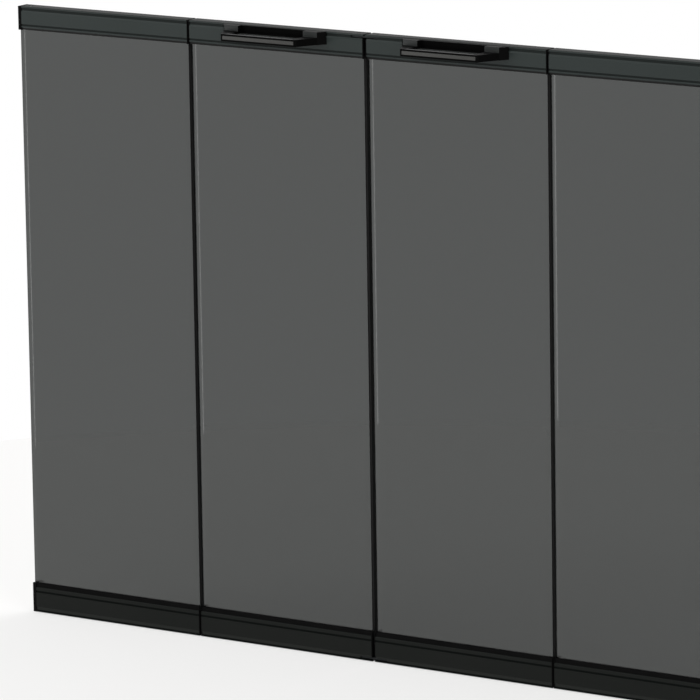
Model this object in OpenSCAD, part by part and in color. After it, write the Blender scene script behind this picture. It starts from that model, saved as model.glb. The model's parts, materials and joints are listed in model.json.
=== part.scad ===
// Four-leaf bi-fold glass door set for a fireplace opening.
// Two pairs of frameless smoked-glass leaves hang between a top and a bottom track.
// Each outer leaf turns on pivot pins near the side of the opening, the inner leaf is
// hinged to it, and a roller near the inner leaf's free end runs in the track slots.
// Millimetres, +Z up. The origin is the middle of the plane that the tracks are screwed to.
// The room is towards -Y and the opening towards +Y.

/* [Door set] */
// Width taken by one leaf, from seam to seam
leaf_pitch = 229; // [200:1:280]
// Height of the leaves, over both rails
door_h = 685; // [500:1:900]
// Gap between the two leaves of a pair
fold_gap = 1.6; // [1.6:0.1:3]
// Gap between the two pairs
centre_gap = 3.3; // [3.2:0.1:6]
// Furthest swing of an outer leaf
swing_max = 85; // [60:1:85]

/* [Glass] */
// Thickness of the toughened glass
glass_t = 4; // [3.2:0.1:5]
// Width of the bevel ground on the upright edges
bevel_w = 6; // [2:0.5:12]
// Depth of that bevel
bevel_d = 0.8; // [0.3:0.1:1.2]

/* [Rails] */
// Thickness of a rail, front to back
rail_t = 16; // [15:0.5:20]
// Wall of the rail extrusion
rail_wall = 1.8; // [1.6:0.1:2.6]
// Thin flange along the outer edge of a rail
flange_t = 1.6; // [1.2:0.1:2]
// Height of the shadow groove beside that flange
groove_h = 2.8; // [2.7:0.1:4]
// Depth of the shadow grooves
groove_d = 0.8; // [0.5:0.1:1]
// Height of the chamber that the track web runs in
chamber_h = 10.4; // [10:0.1:12]
// Shelf between that chamber and the glazing pocket
shelf_t = 2; // [1.5:0.1:3]
// Height of the sloping edge at the outer side of the rail face
slope_h = 2.2; // [1:0.1:3]
// Outer edge to the inner side of the face, top rail
top_face_h = 19.8; // [18:0.1:40]
// Outer edge to the inner side of the face, bottom rail
bottom_face_h = 22.2; // [18:0.1:40]
// Groove between the face and the lip
lip_groove_h = 2.2; // [1:0.1:4]
// Lip that grips the gasket, top rail
top_lip_h = 2.2; // [1.5:0.1:6]
// Lip that grips the gasket, bottom rail
bottom_lip_h = 4; // [1.5:0.1:6]
// Thickness of the end caps at the seams, and of the seals on the upright glass edges
cap_t = 1; // [1:0.1:2.4]
// Thickness of the end caps at the outer ends of the set
outer_cap_t = 4.4; // [1:0.1:4.4]

/* [Seals] */
// Thickness of a gasket leg beside the glass
gasket_t = 1.4; // [1:0.1:2]
// Gasket left showing beyond the lip, top rail
top_bead_h = 2.2; // [1:0.1:5]
// Gasket left showing beyond the lip, bottom rail
bottom_bead_h = 4.8; // [1:0.1:6]
// How far a seal on an upright glass edge stands past the front of the glass
seal_lap = 0.3; // [0:0.1:1]

/* [Tracks] */
// Sheet that the tracks and pivot brackets are pressed from
sheet_t = 1.5; // [1.2:0.1:1.8]
// Outer radius of the folds in that sheet
bend_r = 2.2; // [1.6:0.1:3]
// Height of the upright leg of a track
leg_h = 22; // [20:0.5:26]
// Room that the turning end of a leaf has in front of the brackets
swing_room = 0.5; // [0.3:0.1:3]
// Radius of the screw holes in the tracks
hole_r = 2.25; // [1.5:0.05:3]
// Side screw holes, in from the pivots
hole_inset = 46; // [42:1:80]
// Screw holes, in from the outer edge of the rails
hole_depth = 14; // [10:0.5:18]

/* [Pivots and rollers] */
// Pivot and roller axes, in from the outer end and from the middle seam
pivot_inset = 12; // [11:0.5:16]
// Radius of a pivot pin
pivot_r = 2.5; // [2:0.1:2.6]
// Radius of the bush that carries the leaf
bush_r = 4.8; // [4:0.1:4.8]
// Radius of a roller's neck in the slot
roller_r = 2.5; // [2.2:0.1:2.5]
// Radius of a roller's shoulder
shoulder_r = 4.2; // [3.5:0.1:4.8]
// Radius of the pin that a roller turns on
guide_pin_r = 1.6; // [1.2:0.1:1.7]

/* [Hinges] */
// Radius of a hinge knuckle
knuckle_r = 3; // [2.6:0.1:3.2]
// Radius of a hinge pin
hinge_pin_r = 1.4; // [1:0.1:1.6]
// Reach of a hinge plate along the rail
plate_w = 24; // [22:0.5:40]
// Thickness of a hinge plate
plate_t = 1.5; // [1:0.1:2]

/* [Handles] */
// Length of the handle at the rail
handle_base_w = 134; // [110:1:150]
// Length at the front of its base
handle_shoulder_w = 120; // [100:1:140]
// Length of the grip
handle_grip_w = 98; // [88:1:118]
// Reach of the handle from the rail
handle_reach = 32.5; // [28:0.5:50]
// Depth of the base
base_d = 8.5; // [7:0.5:10]
// Height of the base
base_h = 14.2; // [12:0.1:16]
// How far each end of the base slants in on its way down
base_slant = 7; // [0:0.5:10]
// Width of an arm at the grip
arm_w = 7; // [5:0.5:12]
// Height of the finger hollow in the base
hollow_h = 8; // [4:0.5:10]
// Top of the grip below the top of the rail
grip_drop = 6.3; // [4:0.1:8]
// Height of the grip
grip_h = 7.7; // [6:0.1:8]
// Thickness of the grip, front to back
grip_d = 6; // [4:0.5:8]
// Height of the strip let into the grip
inlay_h = 4; // [2:0.1:5]
// Bare grip left at each end of that strip
inlay_margin = 3; // [2:0.5:10]

/* [Catches] */
// Length of a magnet
magnet_w = 20; // [10:1:20]
// Height of a magnet
magnet_h = 9.5; // [6:0.5:9.5]
// Thickness of a magnet
magnet_t = 3; // [2:0.1:3]
// Thickness of a strike plate
strike_t = 1.2; // [1:0.1:1.5]

/* [Fasteners] */
// Radius of a screw's shank
screw_r = 1.75; // [1.5:0.05:2]
// Radius of a screw's head
head_r = 3.2; // [2.8:0.1:3.4]
// Height of a screw's head
head_h = 1.5; // [1.2:0.1:1.6]
// Length of a screw under its head
screw_len = 4.2; // [4:0.1:4.2]
// Length of the screws that hold the handles
handle_screw_len = 9; // [6:0.5:9]

/* [Fits] */
// Radial room of a turning pin in its hole
run_fit = 0.05; // [0.02:0.01:0.1]
// Room between pieces that slide past each other
slide_gap = 0.2; // [0.15:0.05:0.3]
// Room around a pin or screw in a piece that holds it
hold_gap = 0.02; // [0.01:0.01:0.05]
// Room between the track web and the rail flange
web_gap = 0.6; // [0.5:0.1:0.8]

/* [Hidden] */
$fn = 48;
BLACK_COAT = "#3b4040";
DARK_GLASS = [0.16, 0.17, 0.17, 0.55];
BLACK_RUBBER = "#141414";
BLACK_STEEL = "#2c2e2f";
ZINC = "#9a9ea1";
BLACK_ACETAL = "#1c1d1e";
BLACK_ENAMEL = "#0f1010";
SATIN_NICKEL = "#9b9b98";
FERRITE = "#4a4643";

past = 0.5;                                   // how far a cut runs past a face
front = -rail_t / 2;                          // front face of the rails
back = rail_t / 2;                            // back face of the rails
inner_front = front + rail_wall;              // inside of the rail's front wall
groove_end = flange_t + groove_h;
chamber_end = flange_t + chamber_h;
pocket_floor = chamber_end + shelf_t;
glass_edge = pocket_floor + gasket_t;         // top or bottom edge of the glass
pocket_half = glass_t / 2 + gasket_t;
glass_y = inner_front + pocket_half;          // the glass lies close behind the front of the rails
pocket_back = glass_y + pocket_half;
top_rail_h = top_face_h + lip_groove_h + top_lip_h;
bottom_rail_h = bottom_face_h + lip_groove_h + bottom_lip_h;
top_cap_h = top_rail_h + top_bead_h;
bottom_cap_h = bottom_rail_h + bottom_bead_h;
lip_chamfer = 0.9;
edge_chamfer = 0.5;
peg_len = 4;                                  // pegs of the end caps
bead_flare = 0.9;                             // the gasket stands this far past the pocket
bead_tip = 0.5;                               // and is this thick at its tip
recess_w = 0.7;                               // cross recess of a screw
recess_reach = 0.6 * head_r;

web_s = flange_t + web_gap;                   // outer side of the track web
web_end_s = web_s + sheet_t;                  // inner side of the track web
web_room_s = web_end_s + 1.5;                 // the rails are open for the web up to here
web_front = -inner_front - web_gap;           // front edge of the web, ahead of the leaves' middle
swing_r = sqrt(pivot_inset * pivot_inset + back * back);
bracket_front = ceil(swing_r + swing_room);
bracket_back = bracket_front + sheet_t;
leg_front = bracket_back;
standoff = leg_front + sheet_t;               // middle of the leaves to the screwed plane
slot_r = roller_r + slide_gap;

pivot_x = 2 * leaf_pitch - pivot_inset;
guide_x = pivot_inset;
hinge_x = leaf_pitch;
hinge_y = back + knuckle_r;
arm_len = pivot_x - hinge_x;
open_guide_x = pivot_x - 2 * (arm_len * cos(swing_max) + hinge_y * sin(swing_max));
// The hinge lies behind the line of pivot and roller, so the roller first moves inwards
guide_creep = 2 * (sqrt(arm_len * arm_len + hinge_y * hinge_y) - arm_len);
slot_ends = [guide_x - guide_creep - slide_gap, open_guide_x + slide_gap];
front_room_x = guide_x + web_front;           // the front wall is open for the web up to here
front_room_s = min(groove_end, web_end_s + web_gap);
pin_s = [0.4, pocket_floor - 0.1];

tongue_reach = 13;                            // from the pivot towards the middle
bracket_reach = 32;
tongue_inner_x = pivot_x - tongue_reach;
tongue_outer_x = pivot_x + web_front;
bracket_inner_x = pivot_x - bracket_reach;
web_end_x = tongue_inner_x - 0.5;
bracket_screw_x = (bracket_inner_x + tongue_inner_x) / 2 - 1.5;
bracket_screw_s = [web_s + 7, web_s + 16];
bracket_screw_len = 2 * sheet_t - slide_gap;

hinge_s = chamber_end + 0.6;                  // outer end of the first knuckle
knuckle_gap = 0.15;
hinge_pin_head = [1, 0.6];                    // height of its head, and how far that stands out
hinge_pin_end = 0.3;                          // its other end past the last knuckle
hinge_h = top_rail_h - 0.1 - hinge_s;
knuckle_h = (hinge_h - 2 * knuckle_gap) / 3;
plate_hole_s = hinge_s + hinge_h / 2;
plate_hole_in = [9, 18.5];
clamp_spread = leaf_pitch / 2 - 40.5;         // clamp screws either side of a leaf's middle
clamp_len = back - pocket_back;               // their tips press on the gasket
top_clamp_s = (pocket_floor + top_face_h) / 2;
bottom_clamp_s = (pocket_floor + bottom_face_h) / 2;

base_top = 0.3;                               // top of a handle's base below the top of the rail
cheek_h = base_h / 4;                         // upright part of the base's ends
grip_chamfer = 1.5;
hollow_d = 2.5;                               // base left behind its hollow
window_w = handle_grip_w - 2 * arm_w;         // finger window, and the hollow behind it
handle_screw_x = (window_w / 2 + handle_shoulder_w / 2) / 2;
handle_screw_s = (groove_end + chamber_end) / 2;
inlay_s = grip_drop + (grip_h - inlay_h) / 2;
inlay_half = handle_grip_w / 2 - inlay_margin;
inlay_t = 1.2;
inlay_proud = 0.3;

magnet_front = leg_front - magnet_t;
magnet_x = guide_x + 2;
magnet_s = pocket_floor;
strike_h = 8;
strike_s = magnet_s + 0.6;
strike_back = magnet_front - slide_gap;
strike_foot_x = [guide_x + 12, guide_x + 22];
strike_screw_x = guide_x + 18.5;
strike_screw_s = strike_s + strike_h / 2;

// ---------------------------------------------------------------- places
// Everything is drawn for the right-hand pair, x > 0, and mirrored for the left one.
// A rail's own frame has s = 0 at its outer edge and s growing towards the glass.

module on_side(side) {
    if (side < 0) mirror([1, 0, 0]) children();
    else children();
}

module at_top() {
    translate([0, -standoff, door_h / 2]) mirror([0, 0, 1]) children();
}

module at_bottom() {
    translate([0, -standoff, -door_h / 2]) children();
}

module at_both() {
    at_top() children();
    at_bottom() children();
}

// Block from x0 to x1, y0 to y1 and s0 to s1
module block(x, y, s) {
    translate([x[0], y[0], s[0]]) cube([x[1] - x[0], y[1] - y[0], s[1] - s[0]]);
}

// Upright round bar from s0 to s1
module bar(x, y, r, s) {
    translate([x, y, s[0]]) cylinder(r = r, h = s[1] - s[0]);
}

// Ends of a leaf: the inner leaf runs from the middle seam to the fold, the outer one from the fold out
function leaf_ends(outer) = outer
    ? [leaf_pitch + fold_gap / 2, 2 * leaf_pitch]
    : [centre_gap / 2, leaf_pitch - fold_gap / 2];
function leaf_middle(outer) = (leaf_ends(outer)[0] + leaf_ends(outer)[1]) / 2;
function rail_ends(outer) = [leaf_ends(outer)[0] + cap_t,
                             leaf_ends(outer)[1] - (outer ? outer_cap_t : cap_t)];
function pin_x(outer) = outer ? pivot_x : guide_x;
function pin_r(outer) = outer ? pivot_r : guide_pin_r;
function hinge_screw_x(outer) = [for (d = plate_hole_in) hinge_x + (outer ? d : -d)];
function clamp_x(outer) = [for (d = [-clamp_spread, 0, clamp_spread]) leaf_middle(outer) + d];

// ---------------------------------------------------------------- fasteners
// Low-headed cross-recess screw: head on y = 0, shank towards -Y
module screw(len) {
    difference() {
        union() {
            rotate([-90, 0, 0]) cylinder(r = head_r, h = head_h);
            rotate([90, 0, 0]) cylinder(r = screw_r, h = len);
        }
        for (turn = [0, 90]) rotate([0, turn, 0])
            translate([-recess_reach, head_h / 2, -recess_w / 2]) cube([2 * recess_reach, head_h, recess_w]);
    }
}

// Round hole along Y, from y0 to y1
module y_hole(x, s, r, y) {
    translate([x, y[1], s]) rotate([90, 0, 0]) cylinder(r = r, h = y[1] - y[0]);
}

// ---------------------------------------------------------------- rails
// Section of a rail in y and s: outer flange, shadow groove, chamber open to the back for the
// track web, face, and a pocket for the gasket and the glass
module rail_section(face_h, full_h) {
    difference() {
        translate([front, 0]) square([rail_t, full_h]);
        translate([inner_front, flange_t]) square([rail_t, chamber_h]);
        translate([front - past, flange_t]) square([groove_d + past, groove_h]);
        polygon([[front - past, groove_end - past], [front + groove_d, groove_end - past],
                 [front + groove_d, groove_end], [front, groove_end + slope_h],
                 [front - past, groove_end + slope_h]]);
        translate([front - past, face_h]) square([groove_d + past, lip_groove_h]);
        translate([inner_front, pocket_floor]) square([2 * pocket_half, full_h]);
        translate([inner_front, pocket_floor]) square([rail_t - 2 * rail_wall, face_h - pocket_floor]);
        polygon([[front - past, full_h - lip_chamfer], [front, full_h - lip_chamfer],
                 [front + lip_chamfer, full_h], [front + lip_chamfer, full_h + past],
                 [front - past, full_h + past]]);
        polygon([[front - past, edge_chamfer], [front, edge_chamfer], [front + edge_chamfer, 0],
                 [front + edge_chamfer, -past], [front - past, -past]]);
    }
}

module rail(outer, face_h, full_h, clamp_s) {
    ends = rail_ends(outer);
    screw_hole_r = screw_r + hold_gap;
    difference() {
        union() {
            translate([ends[0], 0, 0]) rotate([90, 0, 90])
                linear_extrude(ends[1] - ends[0]) rail_section(face_h, full_h);
            // beside the roller the cap stays clear of the web, so the flange runs on over it
            if (!outer) translate([ends[0] - cap_t, 0, 0]) rotate([90, 0, 90]) linear_extrude(2 * cap_t)
                intersection() {
                    rail_section(face_h, full_h);
                    translate([front, 0]) square([rail_t, flange_t]);
                }
        }
        bar(pin_x(outer), 0, pin_r(outer) + hold_gap, [-past, pocket_floor + past]);
        for (x = clamp_x(outer)) y_hole(x, clamp_s, screw_hole_r, [0, back + past]);
        for (x = hinge_screw_x(outer)) y_hole(x, plate_hole_s, screw_hole_r, [0, back + past]);
        // beside the roller, the front wall is open for the web that crosses the turned rail
        if (!outer)
            block([-past, front_room_x], [front - past, inner_front + past], [flange_t, front_room_s]);
    }
}

module top_rail(outer) {
    color(BLACK_COAT) at_top() difference() {
        rail(outer, top_face_h, top_rail_h, top_clamp_s);
        if (!outer) {
            y_hole(strike_screw_x, strike_screw_s, screw_r + hold_gap, [0, back + past]);
            for (end = [-1, 1])
                y_hole(leaf_middle(false) + end * handle_screw_x, handle_screw_s, screw_r + hold_gap,
                       [front - past, inner_front + past]);
        }
    }
}

module bottom_rail(outer) {
    color(BLACK_COAT) at_bottom() rail(outer, bottom_face_h, bottom_rail_h, bottom_clamp_s);
}

// Cap over one end of a rail, with a peg in the hollow behind the gasket.
// A cap beside a roller leaves the whole depth free for the web, the others only the back.
// The caps at the outer ends of the set are slotted for the glass, which runs on to the leaf's end.
module end_cap(x, inward, cap_h, face_h, roller_end, slotted) {
    thick = slotted ? outer_cap_t : cap_t;
    plate = inward > 0 ? [x, x + thick] : [x - thick, x];
    peg = inward > 0 ? [x + thick, x + thick + peg_len] : [x - thick - peg_len, x - thick];
    notch_front = roller_end ? front - past : inner_front;
    notch_s = roller_end ? -past : flange_t;
    slot_half = glass_t / 2 + hold_gap;
    difference() {
        block(plate, [front, back], [0, cap_h]);
        block([x - thick - past, x + thick + past], [notch_front, back + past], [notch_s, web_room_s]);
        if (slotted)
            block([x - thick - past, x + past], [glass_y - slot_half, glass_y + slot_half],
                  [glass_edge - hold_gap, cap_h + past]);
    }
    block(peg, [pocket_back + hold_gap, -inner_front - hold_gap],
          [pocket_floor + hold_gap, face_h - hold_gap]);
}

module end_caps(outer) {
    ends = leaf_ends(outer);
    color(BLACK_RUBBER) {
        at_top() {
            end_cap(ends[0], 1, top_cap_h, top_face_h, !outer, false);
            end_cap(ends[1], -1, top_cap_h, top_face_h, false, outer);
        }
        at_bottom() {
            end_cap(ends[0], 1, bottom_cap_h, bottom_face_h, !outer, false);
            end_cap(ends[1], -1, bottom_cap_h, bottom_face_h, false, outer);
        }
    }
}

// ---------------------------------------------------------------- glass and seals
// Pane with a bevel along each upright edge of its front
module glass(outer) {
    ends = [rail_ends(outer)[0], outer ? leaf_ends(outer)[1] : rail_ends(outer)[1]];
    pane_front = -glass_t / 2;
    color(DARK_GLASS) translate([0, glass_y - standoff, -door_h / 2 + glass_edge])
        linear_extrude(door_h - 2 * glass_edge) polygon([
            [ends[0], glass_t / 2], [ends[0], pane_front + bevel_d], [ends[0] + bevel_w, pane_front],
            [ends[1] - bevel_w, pane_front], [ends[1], pane_front + bevel_d], [ends[1], glass_t / 2]]);
}

// U-shaped glazing channel pushed into the pocket, with a bead standing past the lip
module gasket(outer, rail_h, cap_h) {
    ends = rail_ends(outer);
    bead_y = pocket_half + bead_flare;
    tip_y = glass_t / 2 + bead_tip;
    translate([ends[0], glass_y, 0]) rotate([90, 0, 90]) linear_extrude(ends[1] - ends[0]) {
        translate([-pocket_half, pocket_floor]) square([2 * pocket_half, gasket_t]);
        for (side = [-1, 1]) polygon([
            [side * glass_t / 2, pocket_floor], [side * pocket_half, pocket_floor],
            [side * pocket_half, rail_h], [side * bead_y, rail_h],
            [side * tip_y, cap_h], [side * glass_t / 2, cap_h]]);
    }
}

module glazing_gaskets(outer) {
    color(BLACK_RUBBER) {
        at_top() gasket(outer, top_rail_h, top_cap_h);
        at_bottom() gasket(outer, bottom_rail_h, bottom_cap_h);
    }
}

// Flat silicone strips bonded to the upright glass edges that meet another leaf, as deep as the
// glass and the gasket behind it
module edge_seals(outer) {
    ends = leaf_ends(outer);
    seal_depth = glass_t + gasket_t + seal_lap;
    color(BLACK_RUBBER)
        for (x = outer ? [ends[0]] : [ends[0], ends[1] - cap_t])
            translate([x, pocket_back - seal_depth - standoff, -door_h / 2 + bottom_cap_h])
                cube([cap_t, seal_depth, door_h - top_cap_h - bottom_cap_h]);
}

// Screws of one leaf: gasket clamps, hinge screws, and the screw of the strike
module leaf_screws(outer) {
    color(ZINC) {
        at_top() {
            for (x = clamp_x(outer)) translate([x, back, top_clamp_s]) screw(clamp_len);
            if (!outer) translate([strike_screw_x, back + strike_t, strike_screw_s]) screw(screw_len);
        }
        at_bottom()
            for (x = clamp_x(outer)) translate([x, back, bottom_clamp_s]) screw(clamp_len);
        at_both()
            for (x = hinge_screw_x(outer)) translate([x, back + plate_t, plate_hole_s]) screw(screw_len);
    }
}

// ---------------------------------------------------------------- tracks and pivots
// What is cut off the outer corner of a fold along X, whose back face is at y
module fold_corner(x, y) {
    difference() {
        block(x, [y - bend_r, y + past], [web_s - past, web_s + bend_r]);
        translate([x[0] - past, y - bend_r, web_s + bend_r]) rotate([0, 90, 0])
            cylinder(r = bend_r, h = x[1] - x[0] + 2 * past);
    }
}

// Slotted angle: a web that the rails run over and a leg that is screwed to the opening
module track() {
    color(BLACK_STEEL) difference() {
        union() {
            block([-web_end_x, web_end_x], [-web_front, standoff], [web_s, web_end_s]);
            block([-tongue_outer_x, tongue_outer_x], [leg_front, standoff], [web_s, web_s + leg_h]);
        }
        fold_corner([-web_end_x, web_end_x], standoff);
        for (side = [-1, 1]) on_side(side) {
            for (x = slot_ends) bar(x, 0, slot_r, [web_s - past, web_end_s + past]);
            block(slot_ends, [-slot_r, slot_r], [web_s - past, web_end_s + past]);
            y_hole(pivot_x - hole_inset, hole_depth, hole_r, [leg_front - past, standoff + past]);
            for (s = bracket_screw_s)
                y_hole(bracket_screw_x, s, screw_r + hold_gap, [leg_front - past, standoff + past]);
        }
        y_hole(0, hole_depth, hole_r, [leg_front - past, standoff + past]);
    }
}

module top_track() at_top() track();
module bottom_track() at_bottom() track();

// Angle with a round-nosed tongue that holds the pivot pin; its leg stops short of the track web
module pivot_bracket() {
    leg_x = [tongue_inner_x, tongue_outer_x];
    color(BLACK_STEEL) difference() {
        union() {
            block([tongue_inner_x, pivot_x], [-web_front, bracket_back], [web_s, web_end_s]);
            block([pivot_x - past, tongue_outer_x], [0, bracket_back], [web_s, web_end_s]);
            bar(pivot_x, 0, web_front, [web_s, web_end_s]);
            block(leg_x, [bracket_front, bracket_back], [web_s, web_s + leg_h]);
            block([bracket_inner_x, tongue_inner_x + past], [bracket_front, bracket_back],
                  [web_end_s + slide_gap, web_s + leg_h]);
        }
        fold_corner(leg_x, bracket_back);
        bar(pivot_x, 0, pivot_r + run_fit, [web_s - past, web_end_s + past]);
        for (s = bracket_screw_s)
            y_hole(bracket_screw_x, s, screw_r + hold_gap, [bracket_front - past, bracket_back + past]);
    }
}

module top_left_pivot_bracket() at_top() on_side(-1) pivot_bracket();
module top_right_pivot_bracket() at_top() on_side(1) pivot_bracket();
module bottom_left_pivot_bracket() at_bottom() on_side(-1) pivot_bracket();
module bottom_right_pivot_bracket() at_bottom() on_side(1) pivot_bracket();

module bracket_screws() {
    color(ZINC) at_both() for (side = [-1, 1]) on_side(side)
        for (s = bracket_screw_s)
            translate([bracket_screw_x, bracket_front, s]) mirror([0, 1, 0]) screw(bracket_screw_len);
}

// Acetal bushes that carry the outer leaves on the bottom brackets
module thrust_bushes() {
    color(BLACK_ACETAL) at_bottom() for (side = [-1, 1]) on_side(side) difference() {
        bar(pivot_x, 0, bush_r, [web_end_s, chamber_end - slide_gap]);
        bar(pivot_x, 0, pivot_r + run_fit, [web_end_s - past, chamber_end + past]);
    }
}

module pivot_pins() {
    color(ZINC) at_both() bar(pivot_x, 0, pivot_r, pin_s);
}

module guide_pins() {
    color(ZINC) at_both() bar(guide_x, 0, guide_pin_r, pin_s);
}

// Acetal roller: its neck runs in the slot and its shoulder bears on the web
module roller() {
    shoulder_s = web_end_s + slide_gap;
    color(BLACK_ACETAL) difference() {
        union() {
            bar(guide_x, 0, roller_r, [flange_t + slide_gap, shoulder_s + past]);
            bar(guide_x, 0, shoulder_r, [shoulder_s, chamber_end - slide_gap]);
        }
        bar(guide_x, 0, guide_pin_r + run_fit, [0, pocket_floor]);
    }
}

// ---------------------------------------------------------------- hinges
function knuckle_span(t) = [hinge_s + t * (knuckle_h + knuckle_gap),
                            hinge_s + t * (knuckle_h + knuckle_gap) + knuckle_h];

// One plate of a small butt hinge on the back of the rails, with its own knuckles of the three
module hinge_plate(outer, own, other) {
    far = hinge_x + (outer ? plate_w : -plate_w);
    span = outer ? [hinge_x, far] : [far, hinge_x];
    difference() {
        union() {
            block(span, [back, back + plate_t], [hinge_s, hinge_s + hinge_h]);
            for (t = own) bar(hinge_x, hinge_y, knuckle_r, knuckle_span(t));
        }
        for (t = other) bar(hinge_x, hinge_y, knuckle_r + slide_gap,
                            [knuckle_span(t)[0] - knuckle_gap, knuckle_span(t)[1] + knuckle_gap]);
        bar(hinge_x, hinge_y, hinge_pin_r + run_fit, [hinge_s - past, hinge_s + hinge_h + past]);
        for (x = hinge_screw_x(outer))
            y_hole(x, plate_hole_s, screw_r + hold_gap, [back - past, back + plate_t + past]);
    }
}

module hinge_outer_plates() {
    color(BLACK_STEEL) at_both() hinge_plate(true, [0, 2], [1]);
}

module hinge_inner_plates() {
    color(BLACK_STEEL) at_both() hinge_plate(false, [1], [0, 2]);
}

module hinge_pins() {
    head_s = hinge_s - knuckle_gap;
    color(ZINC) at_both() {
        bar(hinge_x, hinge_y, hinge_pin_r, [head_s - past, hinge_s + hinge_h + hinge_pin_end]);
        bar(hinge_x, hinge_y, hinge_pin_r + hinge_pin_head[1], [head_s - hinge_pin_head[0], head_s]);
    }
}

// ---------------------------------------------------------------- handles
// A handle's own frame: x from its middle, y = 0 on the rail face, s down from the rail's top
module at_handle() {
    at_top() translate([leaf_middle(false), front, 0]) children();
}

// Plan of base, arms and grip, with the finger window between them
module handle_plan() {
    base = handle_base_w / 2;
    shoulder = handle_shoulder_w / 2;
    grip = handle_grip_w / 2;
    chamfer_y = grip_chamfer - handle_reach;
    difference() {
        polygon([[-base, 0], [base, 0], [shoulder, -base_d], [grip, chamfer_y],
                 [grip - grip_chamfer, -handle_reach], [grip_chamfer - grip, -handle_reach],
                 [-grip, chamfer_y], [-shoulder, -base_d]]);
        translate([-window_w / 2, grip_d - handle_reach]) square([window_w, handle_reach - grip_d - base_d]);
    }
}

// Front view of the base, whose ends slant in
module base_front() {
    half = handle_base_w / 2;
    polygon([[-half, 0], [half, 0], [half, cheek_h], [half - base_slant, base_h],
             [base_slant - half, base_h], [-half, cheek_h]]);
}

module handle() {
    color(BLACK_ENAMEL) at_handle() difference() {
        union() {
            translate([0, 0, grip_drop]) linear_extrude(grip_h) handle_plan();
            intersection() {
                translate([0, 0, base_top]) linear_extrude(base_h) handle_plan();
                translate([0, 0, base_top]) rotate([90, 0, 0]) linear_extrude(base_d) base_front();
            }
        }
        // finger hollow, open towards the top
        block([-window_w / 2, window_w / 2], [-base_d - past, -hollow_d], [-past, base_top + hollow_h]);
        block([-inlay_half - hold_gap, inlay_half + hold_gap],
              [-handle_reach - past, -handle_reach + inlay_t - inlay_proud],
              [inlay_s - hold_gap, inlay_s + inlay_h + hold_gap]);
        for (end = [-1, 1]) y_hole(end * handle_screw_x, handle_screw_s, screw_r + hold_gap,
                                   [rail_wall - handle_screw_len - slide_gap, past]);
    }
}

module handle_inlay() {
    color(SATIN_NICKEL) at_handle()
        block([-inlay_half, inlay_half], [-handle_reach - inlay_proud, -handle_reach + inlay_t - inlay_proud],
              [inlay_s, inlay_s + inlay_h]);
}

module handle_screws() {
    color(ZINC) at_handle() for (end = [-1, 1])
        translate([end * handle_screw_x, rail_wall, handle_screw_s]) screw(handle_screw_len);
}

// ---------------------------------------------------------------- catches
// Block magnets on the top track and stepped steel strikes on the inner leaves
module catch_magnets() {
    color(FERRITE) at_top() for (side = [-1, 1]) on_side(side)
        block([magnet_x, magnet_x + magnet_w], [magnet_front, leg_front], [magnet_s, magnet_s + magnet_h]);
}

module catch_strike() {
    step_x = strike_foot_x[0] + strike_t;
    strike_span = [strike_s, strike_s + strike_h];
    color(ZINC) at_top() difference() {
        union() {
            block(strike_foot_x, [back, back + strike_t], strike_span);
            block([strike_foot_x[0], step_x], [back, strike_back], strike_span);
            block([guide_x, step_x], [strike_back - strike_t, strike_back], strike_span);
        }
        y_hole(strike_screw_x, strike_screw_s, screw_r + hold_gap, [back - past, back + strike_t + past]);
    }
}

// ---------------------------------------------------------------- named sub-parts
module left_outer_glass() on_side(-1) glass(true);
module left_outer_top_rail() on_side(-1) top_rail(true);
module left_outer_bottom_rail() on_side(-1) bottom_rail(true);
module left_outer_glazing_gaskets() on_side(-1) glazing_gaskets(true);
module left_outer_edge_seals() on_side(-1) edge_seals(true);
module left_outer_end_caps() on_side(-1) end_caps(true);
module left_outer_screws() on_side(-1) leaf_screws(true);

module left_inner_glass() on_side(-1) glass(false);
module left_inner_top_rail() on_side(-1) top_rail(false);
module left_inner_bottom_rail() on_side(-1) bottom_rail(false);
module left_inner_glazing_gaskets() on_side(-1) glazing_gaskets(false);
module left_inner_edge_seals() on_side(-1) edge_seals(false);
module left_inner_end_caps() on_side(-1) end_caps(false);
module left_inner_screws() on_side(-1) leaf_screws(false);

module right_inner_glass() on_side(1) glass(false);
module right_inner_top_rail() on_side(1) top_rail(false);
module right_inner_bottom_rail() on_side(1) bottom_rail(false);
module right_inner_glazing_gaskets() on_side(1) glazing_gaskets(false);
module right_inner_edge_seals() on_side(1) edge_seals(false);
module right_inner_end_caps() on_side(1) end_caps(false);
module right_inner_screws() on_side(1) leaf_screws(false);

module right_outer_glass() on_side(1) glass(true);
module right_outer_top_rail() on_side(1) top_rail(true);
module right_outer_bottom_rail() on_side(1) bottom_rail(true);
module right_outer_glazing_gaskets() on_side(1) glazing_gaskets(true);
module right_outer_edge_seals() on_side(1) edge_seals(true);
module right_outer_end_caps() on_side(1) end_caps(true);
module right_outer_screws() on_side(1) leaf_screws(true);

module left_pivot_pins() on_side(-1) pivot_pins();
module left_guide_pins() on_side(-1) guide_pins();
module left_top_roller() on_side(-1) at_top() roller();
module left_bottom_roller() on_side(-1) at_bottom() roller();
module left_hinge_outer_plates() on_side(-1) hinge_outer_plates();
module left_hinge_inner_plates() on_side(-1) hinge_inner_plates();
module left_hinge_pins() on_side(-1) hinge_pins();
module left_handle() on_side(-1) handle();
module left_handle_inlay() on_side(-1) handle_inlay();
module left_handle_screws() on_side(-1) handle_screws();
module left_catch_strike() on_side(-1) catch_strike();

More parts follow.
